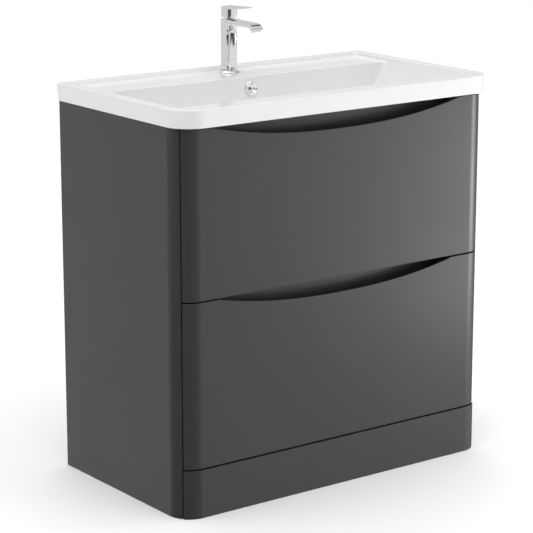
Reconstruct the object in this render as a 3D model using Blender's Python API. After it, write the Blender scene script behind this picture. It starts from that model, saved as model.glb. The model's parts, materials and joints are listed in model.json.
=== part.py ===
"""Two-drawer floor-standing bathroom vanity cabinet with a ceramic basin and a single-lever mixer tap.

Metres, +Z up. The origin is on the floor, at the centre of the basin's outline. The cabinet's front
faces -Y and its back, at +Y, stands against a wall.
"""
from math import cos, pi, radians, sin, tan

import bmesh
import bpy
from mathutils import Matrix, Vector

# ---------------------------------------------------------------- driving dimensions
GAP = 0.0003                 # air between two pieces that rest on each other

CAB_HALF_W = 0.400           # cabinet, half of its width
FRONT_Y = -0.216             # face of the drawer fronts
BACK_Y = 0.228               # back of the cabinet
BOARD = 0.018                # carcass board
CORNER_R = 0.048             # outer radius of the rounded front corners
SEAM_ANGLE = radians(41)     # where side panel and drawer front meet, from the side's tangent point
SEAM_GAP = 0.0025            # width of that joint
CARCASS_TOP = 0.7995

PLINTH_TOP = 0.1015
PLINTH_PROUD = 0.002         # the plinth stands this far in front of the drawer fronts
FRONT_T = 0.022              # drawer front thickness
LOWER_FRONT = (0.1045, 0.4490)
UPPER_FRONT = (0.4520, 0.7965)
SCOOP_HALF = 0.308           # finger scoop, half of its chord at SCOOP_SAG
SCOOP_SAG = 0.0295
SCOOP_POWER = 2.3            # the scoop rises with this power of the distance from its middle
LOWER_SCOOP_Z = 0.4197       # lowest point of each scoop at the face
UPPER_SCOOP_Z = 0.7637
SCOOP_BEVEL = 0.017          # how much lower the scoop is at the back of the front

RAIL_Y = (-0.184, -0.172)    # rails behind the finger scoops
RAIL_HALF = 0.3740
TOP_RAIL_LOW = 0.735
MIDDLE_RAIL_Z = (0.385, 0.462)
PLINTH_RAIL_Y = (-0.165, -0.149)
BOTTOM_Z = (0.1065, 0.1245)  # bottom panel
BACK_PANEL_Y = (0.2190, 0.2270)
BACK_RAIL_Y = (0.2090, 0.2270)
BACK_RAIL_LOW = 0.6998       # the back panel ends below the rail that is screwed to the wall
SERVICE_HALF = 0.120         # opening in the back panel for the pipes
SERVICE_Z = (0.470, 0.620)

BASIN_HALF_W = 0.405
BASIN_HALF_D = 0.230
BASIN_LOW = 0.800
RIM_Z = 0.8375
DECK_Z = 0.830               # tap ledge, below the raised rim
BASIN_FRONT_R = 0.057
BASIN_BACK_R = 0.004
BASIN_TAPER = 0.0015
BOWL_FLOOR = 0.712
BOWL_FLOOR_T = 0.0105
BOWL_WALL = 0.0115
BOWL_HALF_TOP = 0.382        # at the rim's height
BOWL_FRONT_TOP = -0.183      # at the rim's height
BOWL_BACK_TOP = 0.101        # at the deck's height
BOWL_END_SLOPE = radians(33)
BOWL_FRONT_SLOPE = radians(35)
BOWL_BACK_SLOPE = radians(8)
CAVITY_TOP = 0.815           # hollow under the basin's ledge
SKIRT_WALL = 0.0155
TAP_HOLE_R = 0.0175
WASTE_HOLE_R = 0.023
OVERFLOW_HOLE_R = 0.0105

TAP_Y = 0.175
TAP_HALF = 0.016             # half of the column's width
TAP_TOP = 0.946
SPOUT_REACH = 0.105
SPOUT_TIP_Z = 0.9315
CAP_LOW = 0.9485
CAP_TOP = 0.968
LEVER_REACH = 0.066
LEVER_RISE = radians(3)
LEVER_PIVOT = (0.0, TAP_Y + 0.010, CAP_LOW + 0.006)

WASTE_Y = -0.005
OVERFLOW_Z = 0.804
TRAP_OUTLET_Z = 0.560

BOX_HALF_W = 0.3643          # outer face of the drawer's metal side
BOX_SIDE_T = 0.0125
BOX_FRONT_Y = FRONT_Y + FRONT_T + 0.0008
SIDE_FRONT_Y = -0.1868       # the metal sides start behind the bent ends of the front
BOX_BACK_Y = 0.192
NOTCH_HALF = 0.075           # U-shaped notch of the upper drawer
NOTCH_FRONT_Y = -0.060
NOTCH_WALL = 0.012
BOX_LEDGE = 0.012            # ledge of the metal side, under the bottom board
BOX_LEDGE_T = 0.0095
BOX_BOARD = 0.016            # bottom and back boards of the drawer
BRACKET_LEG = (0.022, 0.032)
BRACKET_SHEET = 0.0025
BRACKET_Z = (0.035, 0.105)   # above the drawer box's base

RUNNER_Y = (-0.167, 0.203)
RUNNER_Z = 0.045             # middle of the runners, above the drawer box's base
RUNNER_HALF_Z = (0.0225, 0.0204, 0.0170)  # fixed, middle and moving member
RUNNER_SHEET = 0.0014
RUNNER_OUT = 0.3735          # the moving members pass inside the side panels' bent ends
DRAWERS = {
    "upper": {"front": UPPER_FRONT, "scoop": UPPER_SCOOP_Z, "box": 0.470, "wall": 0.120, "notch": True},
    "lower": {"front": LOWER_FRONT, "scoop": LOWER_SCOOP_Z, "box": 0.136, "wall": 0.190, "notch": False},
}


# ---------------------------------------------------------------- scene and materials
def clear_scene():
    for obj in list(bpy.data.objects):
        bpy.data.objects.remove(obj, do_unlink=True)


def surface(name, colour, roughness, metallic=0.0):
    mat = bpy.data.materials.new(name)
    mat.use_nodes = True
    shader = mat.node_tree.nodes["Principled BSDF"]
    shader.inputs["Base Color"].default_value = (*colour, 1.0)
    shader.inputs["Roughness"].default_value = roughness
    shader.inputs["Metallic"].default_value = metallic
    return mat


def make_materials():
    return {
        "grey": surface("anthracite_paint", (0.085, 0.087, 0.092), 0.45),
        "board": surface("grey_melamine", (0.20, 0.20, 0.205), 0.6),
        "ceramic": surface("white_glaze", (0.86, 0.86, 0.86), 0.08),
        "chrome": surface("chrome", (0.80, 0.81, 0.82), 0.06, 1.0),
        "steel": surface("zinc_steel", (0.60, 0.61, 0.63), 0.35, 1.0),
        "drawer_metal": surface("drawer_side_grey", (0.33, 0.34, 0.35), 0.4, 0.3),
        "plastic": surface("white_plastic", (0.80, 0.80, 0.79), 0.35),
        "rubber": surface("black_rubber", (0.03, 0.03, 0.03), 0.8),
    }


def empty(name, place):
    holder = bpy.data.objects.new(name, None)
    holder.location = place
    bpy.context.collection.objects.link(holder)
    return holder


# ---------------------------------------------------------------- outlines
def arc(centre, radius, start, end, steps):
    """Points on a circle from one angle to another, both included."""
    points = []
    for i in range(steps + 1):
        angle = start + (end - start) * i / steps
        points.append((centre[0] + radius * cos(angle), centre[1] + radius * sin(angle)))
    return points


def rounded_outline(half_x, low_y, high_y, front_r, back_r, steps=6):
    """Rectangle with rounded corners, counter-clockwise from its front left corner."""
    outline = arc((-half_x + front_r, low_y + front_r), front_r, pi, 1.5 * pi, steps)
    outline += arc((half_x - front_r, low_y + front_r), front_r, 1.5 * pi, 2 * pi, steps)
    outline += arc((half_x - back_r, high_y - back_r), back_r, 0, 0.5 * pi, steps)
    outline += arc((-half_x + back_r, high_y - back_r), back_r, 0.5 * pi, pi, steps)
    return outline


def corner_strip(outer_r, thickness, start, end, steps):
    """Plan of a bent board on the left corner: the outer arc, then the inner arc back."""
    centre = (-CAB_HALF_W + CORNER_R, FRONT_Y + CORNER_R)
    outer = arc(centre, outer_r, start, end, steps)
    inner = arc(centre, outer_r - thickness, end, start, steps)
    return outer, inner


def mirrored(points):
    return [(-x, y) for x, y in points]


# ---------------------------------------------------------------- solids
def finish(name, bm, mat, parent=None, origin=None, smooth=False):
    """Turn a mesh in world coordinates into an object with its origin at origin, or at its middle."""
    bmesh.ops.recalc_face_normals(bm, faces=bm.faces)
    if origin is None:
        corners = [vert.co for vert in bm.verts]
        low = Vector([min(co[i] for co in corners) for i in range(3)])
        high = Vector([max(co[i] for co in corners) for i in range(3)])
        origin = (low + high) / 2
    origin = Vector(origin)
    bmesh.ops.translate(bm, verts=bm.verts, vec=-origin)
    mesh = bpy.data.meshes.new(name)
    bm.to_mesh(mesh)
    bm.free()
    if mat:
        mesh.materials.append(mat)
    if smooth:
        mesh.shade_smooth()
        mesh.set_sharp_from_angle(angle=radians(35))
    obj = bpy.data.objects.new(name, mesh)
    bpy.context.collection.objects.link(obj)
    obj.location = origin
    if parent:
        obj.parent = parent
        obj.location = origin - parent.location
    return obj


def point_on(axis, a, b, along):
    """World point from two outline coordinates and the place along the extrusion's axis."""
    if axis == "x":
        return (along, a, b)
    if axis == "y":
        return (a, along, b)
    return (a, b, along)


def add_prism(bm, outline, axis, start, end):
    """Extrude a flat outline along an axis. On x the outline is (y, z), on y (x, z), on z (x, y)."""
    verts = [bm.verts.new(point_on(axis, a, b, start)) for a, b in outline]
    face = bm.faces.new(verts)
    extruded = bmesh.ops.extrude_face_region(bm, geom=[face])
    moved = [item for item in extruded["geom"] if isinstance(item, bmesh.types.BMVert)]
    shift = Vector(point_on(axis, 0, 0, end - start))
    bmesh.ops.translate(bm, verts=moved, vec=shift)


def add_box(bm, low, high):
    outline = [(low[0], low[1]), (high[0], low[1]), (high[0], high[1]), (low[0], high[1])]
    add_prism(bm, outline, "z", low[2], high[2])


def add_loft(bm, loops):
    """Skin a stack of closed loops of equal length, and close both ends."""
    rings = [[bm.verts.new(co) for co in loop] for loop in loops]
    count = len(rings[0])
    for lower, upper in zip(rings, rings[1:]):
        for i in range(count):
            j = (i + 1) % count
            bm.faces.new((lower[i], lower[j], upper[j], upper[i]))
    bm.faces.new(rings[0])
    bm.faces.new(rings[-1])


def add_turned(bm, profile, place, axis="z", segments=24):
    """Spin a closed (radius, height) profile about an axis through place."""
    rings = []
    for i in range(segments):
        angle = 2 * pi * i / segments
        ring = []
        for radius, height in profile:
            offset = point_on(axis, radius * cos(angle), radius * sin(angle), height)
            ring.append(bm.verts.new(Vector(place) + Vector(offset)))
        rings.append(ring)
    count = len(profile)
    for i in range(segments):
        near, far = rings[i], rings[(i + 1) % segments]
        for k in range(count):
            m = (k + 1) % count
            bm.faces.new((near[k], near[m], far[m], far[k]))


def add_rod(bm, radius, place, length, axis="z", segments=24):
    """Plain cylinder from place along an axis."""
    circle = arc((0, 0), radius, 0, 2 * pi, segments)[:-1]
    for_axis = {"x": (place[1], place[2], place[0]), "y": (place[0], place[2], place[1]),
                "z": (place[0], place[1], place[2])}
    a, b, start = for_axis[axis]
    outline = [(a + u, b + v) for u, v in circle]
    add_prism(bm, outline, axis, start, start + length)


def box(name, low, high, mat, parent=None):
    bm = bmesh.new()
    add_box(bm, low, high)
    return finish(name, bm, mat, parent)


def prism(name, outline, axis, start, end, mat, parent=None, smooth=False):
    bm = bmesh.new()
    add_prism(bm, outline, axis, start, end)
    return finish(name, bm, mat, parent, smooth=smooth)


def turned(name, profile, place, mat, parent=None, axis="z", segments=24):
    bm = bmesh.new()
    add_turned(bm, profile, place, axis, segments)
    return finish(name, bm, mat, parent, smooth=True)


def combine(target, tool, operation="DIFFERENCE"):
    """Cut or join target with tool, which is left in the file as a hidden guide."""
    tool.hide_render = True
    tool.display_type = "WIRE"
    modifier = target.modifiers.new(tool.name, "BOOLEAN")
    modifier.operation = operation
    modifier.solver = "EXACT"
    modifier.object = tool


def both_sides():
    return (("left", -1), ("right", 1))


# ---------------------------------------------------------------- carcass
def make_side_panel(side, sign, mats):
    """Side board whose front edge bends round the corner as far as the seam."""
    seam = pi + SEAM_ANGLE - SEAM_GAP / CORNER_R / 2
    outer, inner = corner_strip(CORNER_R, BOARD, pi, seam, 8)
    outline = [(-CAB_HALF_W, BACK_Y)] + outer + inner + [(-CAB_HALF_W + BOARD, BACK_Y)]
    if sign > 0:
        outline = mirrored(outline)
    prism(f"side_panel_{side}", outline, "z", 0.0, CARCASS_TOP, mats["grey"], smooth=True)


def front_outline(outer_r, thickness):
    """Plan of a full-width front with both ends bent back to the seams."""
    seam = pi + SEAM_ANGLE + SEAM_GAP / CORNER_R / 2
    outer, inner = corner_strip(outer_r, thickness, seam, 1.5 * pi, 8)
    return outer + mirrored(outer)[::-1] + mirrored(inner)[::-1] + inner


def make_plinth(mats):
    radius = CORNER_R + PLINTH_PROUD
    prism("plinth_front", front_outline(radius, BOARD), "z", 0.0, PLINTH_TOP, mats["grey"], smooth=True)
    inner = CAB_HALF_W - BOARD - GAP
    near, far = PLINTH_RAIL_Y
    box("plinth_rail", (-inner, near, 0.0), (inner, far, BOTTOM_Z[0] - GAP), mats["board"])


def make_boards(mats):
    inner = CAB_HALF_W - BOARD - GAP
    low, high = BOTTOM_Z
    depth = (PLINTH_RAIL_Y[0], BACK_PANEL_Y[0] - 0.0005)
    box("bottom_panel", (-inner, depth[0], low), (inner, depth[1], high), mats["board"])
    near, far = BACK_PANEL_Y
    back = box("back_panel", (-inner, near, low), (inner, far, BACK_RAIL_LOW - GAP), mats["board"])
    opening = box("service_opening", (-SERVICE_HALF, near - 0.01, SERVICE_Z[0]),
                  (SERVICE_HALF, far + 0.01, SERVICE_Z[1]), None)
    combine(back, opening)
    near, far = BACK_RAIL_Y
    box("back_rail_top", (-inner, near, BACK_RAIL_LOW), (inner, far, CARCASS_TOP), mats["board"])
    box("back_rail_foot", (-inner, near, 0.0), (inner, far, low - GAP), mats["board"])
    near, far = RAIL_Y
    box("front_rail_top", (-RAIL_HALF, near, TOP_RAIL_LOW), (RAIL_HALF, far, CARCASS_TOP), mats["grey"])
    low, high = MIDDLE_RAIL_Z
    box("front_rail_middle", (-RAIL_HALF, near, low), (RAIL_HALF, far, high), mats["grey"])


# ---------------------------------------------------------------- drawers
def scoop_cutter(name, low_z, top_z):
    """Smile-shaped notch in a front's top edge, deeper behind the face so that the edge can be gripped."""
    half = SCOOP_HALF * ((top_z - low_z) / SCOOP_SAG) ** (1 / SCOOP_POWER)
    slope = SCOOP_BEVEL / FRONT_T
    steps = 24
    margin = 0.004
    loops = []
    for depth in (-margin, FRONT_T + margin):
        loop = []
        for i in range(steps + 1):
            x = half * (2 * i / steps - 1)
            ratio = abs(x) / SCOOP_HALF
            fade = 1 - (abs(x) / half) ** 4
            z = low_z + SCOOP_SAG * ratio ** SCOOP_POWER - depth * slope * fade
            loop.append((x, FRONT_Y + depth, z))
        loop.append((half, FRONT_Y + depth, top_z + 0.02))
        loop.append((-half, FRONT_Y + depth, top_z + 0.02))
        loops.append(loop)
    bm = bmesh.new()
    add_loft(bm, loops)
    bmesh.ops.triangulate(bm, faces=bm.faces)
    return finish(name, bm, None)


def make_front(label, spec, holder, mats):
    low_z, top_z = spec["front"]
    outline = front_outline(CORNER_R, FRONT_T)
    front = prism(f"{label}_drawer_front", outline, "z", low_z, top_z, mats["grey"], holder, smooth=True)
    combine(front, scoop_cutter(f"{label}_scoop_cutter", spec["scoop"], top_z))


def make_drawer_sides(label, spec, holder, mats):
    """Metal side with a ledge under the drawer's bottom board."""
    base, wall = spec["box"], spec["wall"]
    inner = BOX_HALF_W - BOX_SIDE_T
    for side, sign in both_sides():
        section = [(BOX_HALF_W, base), (BOX_HALF_W, base + wall), (inner, base + wall),
                   (inner, base + BOX_LEDGE_T), (inner - BOX_LEDGE, base + BOX_LEDGE_T),
                   (inner - BOX_LEDGE, base)]
        outline = [(sign * x, z) for x, z in section]
        prism(f"{label}_drawer_side_{side}", outline, "y", SIDE_FRONT_Y, BOX_BACK_Y, mats["drawer_metal"],
              holder)


def make_drawer_boards(label, spec, holder, mats):
    inner = BOX_HALF_W - BOX_SIDE_T - GAP
    low = spec["box"] + BOX_LEDGE_T + GAP
    high = low + BOX_BOARD
    back_y = BOX_BACK_Y - BOX_BOARD
    top = spec["box"] + spec["wall"] - 0.002
    bottom = box(f"{label}_drawer_bottom", (-inner, BOX_FRONT_Y, low), (inner, back_y - GAP, high),
                 mats["board"], holder)
    if not spec["notch"]:
        box(f"{label}_drawer_back", (-inner, back_y, low), (inner, BOX_BACK_Y, top), mats["board"], holder)
        return
    margin = 0.01
    notch = box("waste_notch", (-NOTCH_HALF, NOTCH_FRONT_Y, low - margin),
                (NOTCH_HALF, BOX_BACK_Y + margin, high + margin), None, holder)
    combine(bottom, notch)
    outer = NOTCH_HALF + NOTCH_WALL
    for side, sign in both_sides():
        near, far = sorted((sign * (outer + GAP), sign * inner))
        box(f"{label}_drawer_back_{side}", (near, back_y, low), (far, BOX_BACK_Y, top), mats["board"],
            holder)
    front_y = NOTCH_FRONT_Y
    outline = [(-outer, BOX_BACK_Y), (-outer, front_y - NOTCH_WALL), (outer, front_y - NOTCH_WALL),
               (outer, BOX_BACK_Y), (NOTCH_HALF, BOX_BACK_Y), (NOTCH_HALF, front_y),
               (-NOTCH_HALF, front_y), (-NOTCH_HALF, BOX_BACK_Y)]
    prism(f"{label}_drawer_notch_wall", outline, "z", high + GAP, top, mats["drawer_metal"], holder)


def make_front_brackets(label, spec, holder, mats):
    """Steel angle that joins each metal side to the drawer front."""
    x0, y0 = BOX_HALF_W - BOX_SIDE_T - GAP, BOX_FRONT_Y
    across, along = BRACKET_LEG
    sheet = BRACKET_SHEET
    angle = [(0, 0), (across, 0), (across, sheet), (sheet, sheet), (sheet, along), (0, along)]
    low, high = BRACKET_Z
    for side, sign in both_sides():
        outline = [(sign * (x0 - a), y0 + b) for a, b in angle]
        prism(f"{label}_front_bracket_{side}", outline, "z", spec["box"] + low, spec["box"] + high,
              mats["steel"], holder)


def channel(sign, web_x, open_x, half_z, z):
    """C section of a runner member: its web at web_x, its flanges reaching to open_x."""
    inner = half_z - RUNNER_SHEET
    web = web_x - RUNNER_SHEET
    section = [(web_x, -half_z), (open_x, -half_z), (open_x, -inner), (web, -inner),
               (web, inner), (open_x, inner), (open_x, half_z), (web_x, half_z)]
    return [(sign * x, z + dz) for x, dz in section]


def make_runners(label, spec, drawer, middle, mats):
    """Three-part telescopic runner on each side: fixed, middle and moving members, nested."""
    z = spec["box"] + RUNNER_Z
    fixed_half, middle_half, moving_half = RUNNER_HALF_Z
    open_x = BOX_HALF_W + 0.0010
    clearance = 0.0005
    for side, sign in both_sides():
        fixed = channel(sign, CAB_HALF_W - BOARD - GAP, open_x, fixed_half, z)
        prism(f"{label}_runner_fixed_{side}", fixed, "y", *RUNNER_Y, mats["steel"])
        nested = channel(sign, RUNNER_OUT, open_x, middle_half, z)
        prism(f"{label}_runner_middle_{side}", nested, "y", *RUNNER_Y, mats["steel"], middle)
        near, far = sorted((sign * (RUNNER_OUT - RUNNER_SHEET - clearance), sign * (BOX_HALF_W + GAP)))
        box(f"{label}_runner_moving_{side}", (near, RUNNER_Y[0], z - moving_half),
            (far, RUNNER_Y[1] - 0.010, z + moving_half), mats["steel"], drawer)


def make_drawer(label, spec, mats):
    middle_z = (spec["front"][0] + spec["front"][1]) / 2
    drawer = empty(f"{label}_drawer_slide", (0, FRONT_Y, middle_z))
    middle = empty(f"{label}_runner_slide", (0, FRONT_Y, spec["box"] + RUNNER_Z))
    make_front(label, spec, drawer, mats)
    make_drawer_sides(label, spec, drawer, mats)
    make_drawer_boards(label, spec, drawer, mats)
    make_front_brackets(label, spec, drawer, mats)
    make_runners(label, spec, drawer, middle, mats)


# ---------------------------------------------------------------- basin
def bowl_loop(z, extra, radius):
    """Plan of the bowl at a height, grown outwards by extra on every side."""
    drop = RIM_Z - z
    half = BOWL_HALF_TOP - drop * tan(BOWL_END_SLOPE) + extra
    front = BOWL_FRONT_TOP + drop * tan(BOWL_FRONT_SLOPE) - extra
    back = BOWL_BACK_TOP - (DECK_Z - z) * tan(BOWL_BACK_SLOPE) + extra
    return [(x, y, z) for x, y in rounded_outline(half, front, back, radius, radius, 4)]


def bowl_solid(name, top_z, floor_z, extra):
    """Tapered bowl shape with its floor edge rounded in three steps."""
    bend = 0.024
    loops = [bowl_loop(top_z, extra, 0.008 + extra)]
    loops.append(bowl_loop(floor_z + bend, extra, 0.014 + extra))
    for angle in (30, 60, 90):
        turn = radians(angle)
        inset = bend * (1 - cos(turn)) * 0.8
        loop = bowl_loop(floor_z + bend * (1 - sin(turn)), extra - inset, 0.018 + extra)
        loops.append(loop)
    bm = bmesh.new()
    add_loft(bm, loops)
    return finish(name, bm, None)


def make_basin(mats):
    rim = ((BASIN_LOW, BASIN_TAPER), (0.8350, 0.0), (0.8367, 0.0008), (RIM_Z, 0.0028))
    loops = []
    for z, inset in rim:
        outline = rounded_outline(BASIN_HALF_W - inset, -BASIN_HALF_D + inset, BASIN_HALF_D - inset,
                                  BASIN_FRONT_R - inset, BASIN_BACK_R, 8)
        loops.append([(x, y, z) for x, y in outline])
    bm = bmesh.new()
    add_loft(bm, loops)
    basin = finish("basin", bm, mats["ceramic"], smooth=True)

    wall = SKIRT_WALL
    hollow = rounded_outline(BASIN_HALF_W - wall, -BASIN_HALF_D + wall, BASIN_HALF_D - wall,
                             BASIN_FRONT_R - wall, 0.006, 4)
    combine(basin, prism("underside_hollow", hollow, "z", 0.780, CAVITY_TOP, None))
    combine(basin, bowl_solid("bowl_outside", 0.826, BOWL_FLOOR - BOWL_FLOOR_T, BOWL_WALL), "UNION")
    combine(basin, bowl_solid("bowl_inside", 0.850, BOWL_FLOOR, 0.0))

    bm = bmesh.new()
    ledge = []
    for z in (DECK_Z, 0.850):
        spread = (z - DECK_Z) * 0.65
        outline = rounded_outline(0.3760 + spread, 0.05, 0.207 + spread, 0.006, 0.006, 3)
        ledge.append([(x, y, z) for x, y in outline])
    add_loft(bm, ledge)
    combine(basin, finish("ledge_recess", bm, None))

    for name, radius, place, length, axis in (
            ("tap_hole", TAP_HOLE_R, (0, TAP_Y, 0.805), 0.035, "z"),
            ("waste_hole", WASTE_HOLE_R, (0, WASTE_Y, 0.690), 0.035, "z"),
            ("overflow_hole", OVERFLOW_HOLE_R, (0, 0.080, OVERFLOW_Z), 0.045, "y")):
        bm = bmesh.new()
        add_rod(bm, radius, place, length, axis, 32)
        combine(basin, finish(name, bm, None))


def make_overflow_ring(mats):
    """Chrome ring on the bowl's back wall, with a sleeve that enters the overflow hole."""
    wall_y = BOWL_BACK_TOP - (DECK_Z - OVERFLOW_Z) * tan(BOWL_BACK_SLOPE)
    profile = [(0.0078, -0.0030), (0.0120, -0.0034), (0.0152, -0.0016), (0.0155, 0.0),
               (0.0094, 0.0), (0.0094, 0.0050), (0.0078, 0.0050)]
    bm = bmesh.new()
    add_turned(bm, profile, (0, 0, 0), "y", 32)
    tilt = Matrix.Rotation(-BOWL_BACK_SLOPE, 4, "X")
    place = Matrix.Translation((0, wall_y - GAP * 2, OVERFLOW_Z))
    bmesh.ops.transform(bm, matrix=place @ tilt, verts=bm.verts)
    finish("overflow_ring", bm, mats["chrome"], smooth=True)


def make_waste(mats):
    floor = BOWL_FLOOR
    place = (0, WASTE_Y, 0)
    body = [(0.0160, 0.6350), (0.0209, 0.6350), (0.0209, floor + GAP), (0.0310, floor + GAP),
            (0.0325, floor + 0.0018), (0.0300, floor + 0.0040), (0.0160, floor + 0.0040)]
    turned("waste_body", body, place, mats["chrome"])
    under = BOWL_FLOOR - BOWL_FLOOR_T
    washer = [(0.0213, under - 0.0035), (0.0310, under - 0.0035), (0.0310, under - GAP),
              (0.0213, under - GAP)]
    turned("waste_washer", washer, place, mats["rubber"])
    nut = [(0.0213, under - 0.0140), (0.0300, under - 0.0140), (0.0300, under - 0.0038),
           (0.0213, under - 0.0038)]
    turned("waste_nut", nut, place, mats["steel"])
    holder = empty("waste_plug_slide", (0, WASTE_Y, floor))
    plug = [(0.0, 0.6800), (0.0045, 0.6800), (0.0045, 0.7020), (0.0135, 0.7035), (0.0135, floor + 0.0045),
            (0.0290, floor + 0.0045), (0.0300, floor + 0.0060), (0.0285, floor + 0.0078),
            (0.0170, floor + 0.0094), (0.0, floor + 0.0100)]
    bm = bmesh.new()
    add_turned(bm, plug, place)
    bmesh.ops.remove_doubles(bm, verts=bm.verts, dist=0.00001)
    finish("waste_plug", bm, mats["chrome"], holder, smooth=True)


def make_trap(mats):
    """Bottle trap below the waste, with its outlet going straight back to the wall."""
    z = TRAP_OUTLET_Z
    place = (0, WASTE_Y, 0)
    nut = [(0.0213, 0.6345), (0.0213, 0.6500), (0.0275, 0.6500), (0.0275, 0.6220), (0.0165, 0.6220),
           (0.0165, 0.6345)]
    turned("trap_inlet_nut", nut, place, mats["plastic"])
    body = [(0.0135, 0.6342), (0.0161, 0.6342), (0.0161, z + 0.034), (0.0300, z + 0.026),
            (0.0300, z - 0.024), (0.0255, z - 0.024), (0.0255, z + 0.020), (0.0135, z + 0.026)]
    trap = turned("trap_body", body, place, mats["plastic"])
    bm = bmesh.new()
    add_rod(bm, 0.0190, (0, WASTE_Y + 0.027, z), 0.018, "y", 32)
    combine(trap, finish("trap_spigot", bm, None), "UNION")
    bm = bmesh.new()
    add_rod(bm, 0.0140, (0, WASTE_Y + 0.020, z), 0.030, "y", 32)
    combine(trap, finish("trap_spigot_bore", bm, None))
    low = z - 0.024 - GAP
    cup = [(0.0, low - 0.045), (0.0240, low - 0.045), (0.0290, low - 0.038), (0.0290, low - 0.014),
           (0.0330, low - 0.012), (0.0330, low), (0.0262, low), (0.0262, low - 0.036),
           (0.0230, low - 0.041), (0.0, low - 0.041)]
    bm = bmesh.new()
    add_turned(bm, cup, place)
    bmesh.ops.remove_doubles(bm, verts=bm.verts, dist=0.00001)
    finish("trap_cup", bm, mats["plastic"], smooth=True)
    start = WASTE_Y + 0.045 + GAP
    end = BASIN_HALF_D - 0.0005
    pipe = [(0.0135, start), (0.0160, start), (0.0160, end), (0.0135, end)]
    turned("trap_outlet_pipe", pipe, (0, 0, z), mats["plastic"], axis="y")
    ring = [(0.0193, start - 0.012), (0.0250, start - 0.012), (0.0250, start + 0.016),
            (0.0163, start + 0.016), (0.0163, start + GAP), (0.0193, start + GAP)]
    turned("trap_outlet_nut", ring, (0, 0, z), mats["plastic"], axis="y")


# ---------------------------------------------------------------- tap
def spout_section():
    """Side view (y, z) of the strap that rises as the column's sides and arches into the spout."""
    base = DECK_Z + 0.0058
    back, front = TAP_Y + TAP_HALF, TAP_Y - 0.011
    tip = TAP_Y - SPOUT_REACH
    outline = [(back, base), (back, TAP_TOP - 0.001), (back - 0.001, TAP_TOP)]
    outline += [(TAP_Y - 0.020, TAP_TOP)]
    outline += arc((tip + 0.019, TAP_TOP - 0.0215), 0.0190, 0.5 * pi, radians(158), 6)
    outline += [(tip, SPOUT_TIP_Z), (tip + 0.0080, SPOUT_TIP_Z - 0.0012)]
    outline += arc((tip + 0.0215, TAP_TOP - 0.0245), 0.0145, radians(160), 0.5 * pi, 5)
    outline += arc((front - 0.024, TAP_TOP - 0.034), 0.024, 0.5 * pi, 0, 6)
    outline += [(front, base)]
    return outline


def make_tap_body(mats):
    bm = bmesh.new()
    add_prism(bm, spout_section(), "x", -TAP_HALF, TAP_HALF)
    body = finish("tap_body", bm, mats["chrome"], smooth=True)
    bm = bmesh.new()
    centre_y = TAP_Y - 0.003
    pillar = arc((0, centre_y), 0.0148, 0, 2 * pi, 32)[:-1]
    loops = [[(x, y, DECK_Z + 0.0058) for x, y in pillar]]
    for angle in (0, 30, 60, 80):
        turn = radians(angle)
        scale = 0.25 + 0.75 * cos(turn)
        height = 0.916 + 0.007 * sin(turn)
        loops.append([(x * scale, centre_y + (y - centre_y) * scale, height) for x, y in pillar])
    add_loft(bm, loops)
    combine(body, finish("tap_pillar", bm, None), "UNION")
    bm = bmesh.new()
    add_rod(bm, 0.0110, (0, TAP_Y, 0.9200), 0.040)
    combine(body, finish("cartridge_seat", bm, None))
    bm = bmesh.new()
    tip = TAP_Y - SPOUT_REACH
    add_box(bm, (-0.0115, tip + 0.0018, SPOUT_TIP_Z - 0.006), (0.0115, tip + 0.0062, SPOUT_TIP_Z + 0.005))
    combine(body, finish("aerator_pocket", bm, None))


def make_tap_parts(mats):
    ring = [(0.0080, DECK_Z + GAP), (0.0238, DECK_Z + GAP), (0.0238, DECK_Z + 0.0018),
            (0.0222, DECK_Z + 0.0034), (0.0212, DECK_Z + 0.0055), (0.0080, DECK_Z + 0.0055)]
    turned("tap_base_ring", ring, (0, TAP_Y, 0), mats["chrome"], segments=40)
    tip = TAP_Y - SPOUT_REACH
    box("tap_aerator", (-0.0112, tip + 0.0021, SPOUT_TIP_Z - 0.0004),
        (0.0112, tip + 0.0059, SPOUT_TIP_Z + 0.0047), mats["steel"])
    cartridge = [(0.0, 0.9203), (0.0107, 0.9203), (0.0107, 0.9440), (0.0060, 0.9455), (0.0, 0.9455)]
    bm = bmesh.new()
    add_turned(bm, cartridge, (0, TAP_Y, 0))
    bmesh.ops.remove_doubles(bm, verts=bm.verts, dist=0.00001)
    finish("tap_cartridge", bm, mats["plastic"], smooth=True)
    shank = [(0.0050, 0.7900), (0.0155, 0.7900), (0.0155, DECK_Z), (0.0050, DECK_Z)]
    turned("tap_shank", shank, (0, TAP_Y, 0), mats["steel"])
    washer = [(0.0158, 0.8118), (0.0255, 0.8118), (0.0255, CAVITY_TOP - GAP), (0.0158, CAVITY_TOP - GAP)]
    turned("tap_washer", washer, (0, TAP_Y, 0), mats["rubber"])
    nut = [(0.0158, 0.8010), (0.0230, 0.8010), (0.0230, 0.8115), (0.0158, 0.8115)]
    turned("tap_mounting_nut", nut, (0, TAP_Y, 0), mats["steel"])


def cap_outline(half, radius):
    return rounded_outline(half, TAP_Y - half, TAP_Y + half, radius, 0.003, 5)


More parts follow.
